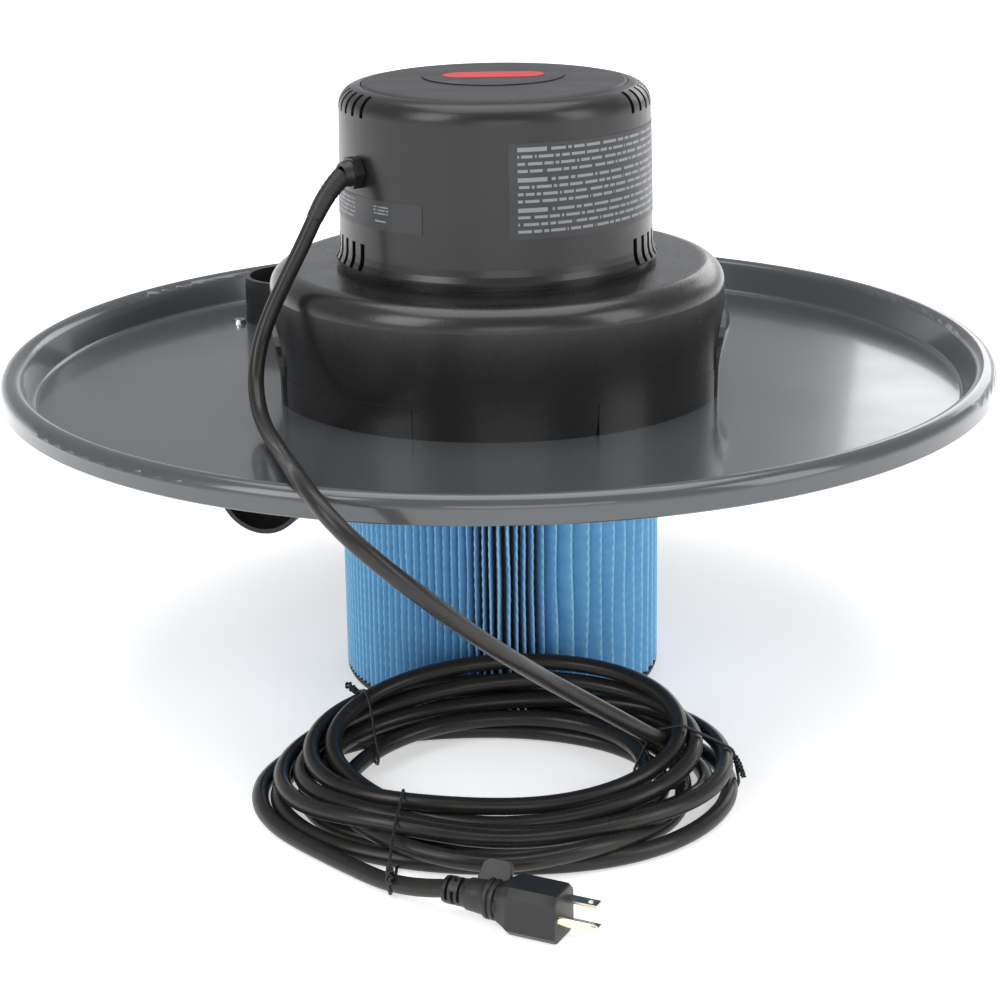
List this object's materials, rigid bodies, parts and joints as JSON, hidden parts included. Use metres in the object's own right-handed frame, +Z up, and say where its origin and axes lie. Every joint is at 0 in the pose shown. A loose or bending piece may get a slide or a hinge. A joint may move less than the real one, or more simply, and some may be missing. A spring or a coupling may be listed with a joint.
{
  "type": "drum-top dust collector",
  "caption": "Motor head on a steel drum lid that turns an open-head drum into a dust collector, with a cartridge filter and float cage below and a corded plug.",
  "frame": {"origin": "centre of the filter cartridge's bottom face, on the axis of the lid and motor; the surface the part stands on is z = 0", "axes": "+Z up along the motor's axis; the side grips are on +X and -X, the rocker switch on +Y, and the power cord lies on the -Y side with its gland 60 degrees from -Y towards -X"},
  "size_m": [0.6099, 0.6978, 0.3741],
  "materials": {
    "lid_enamel": "smooth semi-gloss enamel",
    "housing_gloss": "satin-gloss moulded",
    "housing_satin": "satin moulded",
    "cap_plastic": "fine textured",
    "badge_black": "gloss",
    "badge_red": "gloss",
    "label_film": "satin printed film",
    "black_plastic": "satin moulded",
    "black_rubber": "matte",
    "cord_rubber": "satin jacket",
    "plug_rubber": "satin moulded",
    "tie_black": "satin",
    "screw_steel": "zinc plated",
    "rocker_red": "gloss",
    "float_plastic": "smooth",
    "filter_paper": "pleated spun polyester",
    "core_steel": "zinc plated sheet",
    "motor_aluminium": "die cast",
    "bearing_steel": "ground",
    "copper_wire": "enamelled copper",
    "brass": "stamped",
    "carbon": "sintered carbon",
    "lead_black": "satin",
    "lead_red": "satin",
    "blade_brass": "plated",
    "pin_brass": "plated"
  },
  "bodies": {
    "head": {"drum_lid": "lid_enamel", "rim_gasket": "black_rubber", "lower_housing": "housing_gloss", "motor_housing": "housing_satin", "top_cap": "cap_plastic", "badge": "badge_black", "badge_inlay": "badge_red", "caution_label": "label_film", "rating_label": "label_film", "gland_nut": "black_plastic", "gland_body": "black_plastic", "cord_boot": "cord_rubber", "inlet_tube": "black_plastic", "inlet_elbow": "black_plastic", "inlet_screws": "screw_steel", "inlet_nuts": "screw_steel", "housing_screws": "screw_steel", "motor_housing_screws": "screw_steel", "switch_bezel": "black_plastic", "float_cage": "black_plastic", "cage_screws": "screw_steel", "motor_gasket": "black_rubber", "fan_shell": "core_steel", "motor_mount_ring": "black_rubber", "lower_bracket": "motor_aluminium", "upper_bracket": "motor_aluminium", "lower_bearing": "bearing_steel", "upper_bearing": "bearing_steel", "stator_core": "core_steel", "field_coils": "copper_wire", "brush_holders": "brass", "brushes": "carbon", "brush_springs": "bearing_steel", "motor_bolts": "screw_steel", "supply_leads": "lead_black", "motor_leads": "lead_red", "cord_tube": "cord_rubber", "cord_coil": "cord_rubber", "cord_tail": "cord_rubber", "coil_tie_front": "tie_black", "coil_tie_left": "tie_black", "coil_tie_right": "tie_black", "plug_body": "plug_rubber", "plug_blades": "blade_brass", "plug_ground_pin": "pin_brass"},
    "rotor": {"motor_shaft": "bearing_steel", "armature_core": "core_steel", "armature_windings": "copper_wire", "commutator": "copper_wire", "cooling_fan": "black_plastic", "impeller": "motor_aluminium", "impeller_nut": "screw_steel"},
    "switch": {"switch_rocker": "rocker_red"},
    "float": {"float_ball": "float_plastic"},
    "filter": {"filter_media": "filter_paper", "filter_core": "core_steel", "filter_top_ring": "black_rubber", "filter_bottom_cap": "black_rubber"}
  },
  "joints": [
    {"name": "rotor_spin", "type": "hinge", "parent": "head", "child": "rotor", "pos_m": [0, 0, 0.26], "axis": [0, 0, 1], "continuous": true},
    {"name": "switch_press", "type": "hinge", "parent": "head", "child": "switch", "pos_m": [0, 0.093, 0.322], "axis": [-1, 0, 0], "range_deg": [0, 18]},
    {"name": "float_rise", "type": "slide", "parent": "head", "child": "float", "axis": [0, 0, 1], "range_m": [0, 0.069]},
    {"name": "filter_pull_off", "type": "slide", "parent": "head", "child": "filter", "axis": [0, 0, -1], "range_m": [0, 0.13]}
  ]
}
